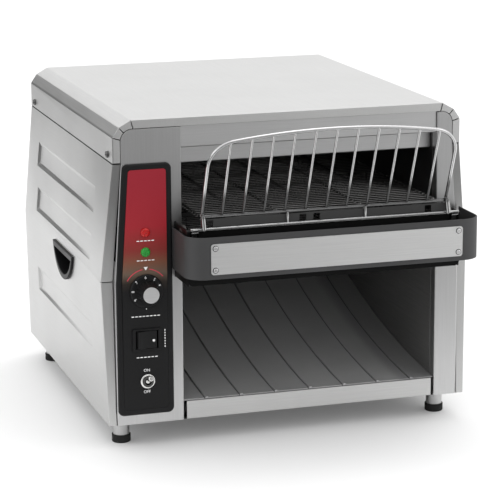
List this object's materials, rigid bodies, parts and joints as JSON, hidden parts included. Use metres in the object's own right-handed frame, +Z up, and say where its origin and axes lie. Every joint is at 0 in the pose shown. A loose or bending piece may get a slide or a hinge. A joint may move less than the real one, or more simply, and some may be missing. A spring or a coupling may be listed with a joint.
{
  "type": "conveyor toaster",
  "caption": "Counter-top conveyor toaster: a wire belt carries slices in from a leaning rack over a bumper, past heating tubes, and a curved slide returns them to the front.",
  "frame": {"origin": "on the floor under the middle of the whole toaster, rack and cord gland included", "axes": "+X to the right seen from the front, +Y to the back, +Z up"},
  "size_m": [0.398, 0.4816, 0.338],
  "materials": {
    "casing_steel": "satin stainless sheet with a fine grain",
    "face_steel": "satin stainless sheet",
    "inner_steel": "dull, heat-darkened sheet inside the tunnel",
    "frame_steel": "plain sheet steel",
    "plate_steel": "bright brushed sheet, bare",
    "bright_wire": "bright welded wire",
    "belt_wire": "stainless wire, darkened by heat",
    "bright_screws": "bright round heads",
    "dark_steel": "black, semi-gloss",
    "chute_steel": "satin grey coated sheet",
    "black_moulding": "black, fine texture",
    "grip_moulding": "black, fine texture",
    "printed_panel": "printed film, dark red fading to black",
    "red_lens": "orange-red lens",
    "green_lens": "green lens",
    "cap_metal": "spun disc",
    "bright_metal": "bright plated metal",
    "bearing_metal": "sintered steel bush, oiled",
    "motor_metal": "grey casting and can",
    "quartz": "frosted quartz tube",
    "tube_end": "white ceramic",
    "fan_moulding": "black, fine texture",
    "foot_rubber": "black rubber"
  },
  "bodies": {
    "casing": {"top_cover": "casing_steel", "right_side_panel": "casing_steel", "left_side_panel": "casing_steel", "right_grip": "grip_moulding", "left_grip": "grip_moulding", "base_pan": "frame_steel", "back_panel": "casing_steel", "control_pillar": "face_steel", "plain_pillar": "face_steel", "header_plate": "face_steel", "feed_baffle": "inner_steel", "left_conveyor_plate": "inner_steel", "right_conveyor_plate": "inner_steel", "nose_plate": "dark_steel", "conveyor_belt": "belt_wire", "belt_support": "inner_steel", "shaft_bushes": "bearing_metal", "drive_chain": "dark_steel", "gearmotor": "motor_metal", "motor_bracket": "frame_steel", "left_cavity_wall": "inner_steel", "right_cavity_wall": "inner_steel", "heating_tubes": "quartz", "tube_caps": "tube_end", "heat_hood": "inner_steel", "discharge_chute": "chute_steel", "tray_runners": "frame_steel", "bumper": "dark_steel", "bumper_plate": "plate_steel", "bumper_plate_screws": "bright_screws", "bumper_brackets": "frame_steel", "rack_clips": "bright_metal", "control_bezel": "black_moulding", "control_overlay": "printed_panel", "power_lamp": "red_lens", "ready_lamp": "green_lens", "speed_control": "motor_metal", "rocker_housing": "black_moulding", "toggle_switch": "bright_metal", "toggle_nut": "bright_metal", "fan_housing": "fan_moulding", "cord_gland": "black_moulding", "casing_screws": "bright_screws", "foot_sleeves": "bright_metal", "foot_pads": "foot_rubber"},
    "dial": {"speed_dial": "black_moulding", "dial_cap": "cap_metal", "dial_spindle": "bright_metal"},
    "rocker": {"rocker_button": "black_moulding"},
    "toggle": {"toggle_lever": "bright_metal"},
    "rack": {"feed_rack": "bright_wire"},
    "tray": {"crumb_tray": "face_steel"},
    "drive": {"drive_shaft": "frame_steel", "drive_sprockets": "frame_steel", "driven_sprocket": "frame_steel"},
    "idler": {"idler_shaft": "frame_steel", "idler_rollers": "frame_steel"},
    "motor_output": {"motor_shaft": "frame_steel", "motor_sprocket": "frame_steel"},
    "fan": {"fan_rotor": "fan_moulding"}
  },
  "joints": [
    {"name": "dial_turn", "type": "hinge", "parent": "casing", "child": "dial", "pos_m": [-0.1528, -0.16116, 0.1655], "axis": [0, 1, 0], "range_deg": [-140, 140]},
    {"name": "rocker_tip", "type": "hinge", "parent": "casing", "child": "rocker", "pos_m": [-0.1528, -0.15716, 0.115], "axis": [0, 0, 1], "range_deg": [-16, 0]},
    {"name": "toggle_tip", "type": "hinge", "parent": "casing", "child": "toggle", "pos_m": [-0.1528, -0.16166, 0.0717], "axis": [1, 0, 0], "range_deg": [0, 48]},
    {"name": "rack_lift", "type": "slide", "parent": "casing", "child": "rack", "axis": [0, 0, 1], "range_m": [0, 0.06]},
    {"name": "tray_slide", "type": "slide", "parent": "casing", "child": "tray", "axis": [0, -1, 0], "range_m": [0, 0.26]},
    {"name": "drive_spin", "type": "hinge", "parent": "casing", "child": "drive", "pos_m": [0.0225, 0.16034, 0.223], "axis": [1, 0, 0], "continuous": true},
    {"name": "idler_spin", "type": "hinge", "parent": "casing", "child": "idler", "pos_m": [0.0225, -0.17976, 0.223], "axis": [1, 0, 0], "continuous": true},
    {"name": "motor_spin", "type": "hinge", "parent": "casing", "child": "motor_output", "pos_m": [-0.1265, 0.16034, 0.128], "axis": [1, 0, 0], "continuous": true},
    {"name": "fan_spin", "type": "hinge", "parent": "casing", "child": "fan", "pos_m": [-0.15, 0.21484, 0.105], "axis": [0, 1, 0], "continuous": true}
  ],
  "couplings": [
    {"joint": "idler_spin", "follows": "drive_spin", "ratio": 1},
    {"joint": "motor_spin", "follows": "drive_spin", "ratio": 1}
  ]
}
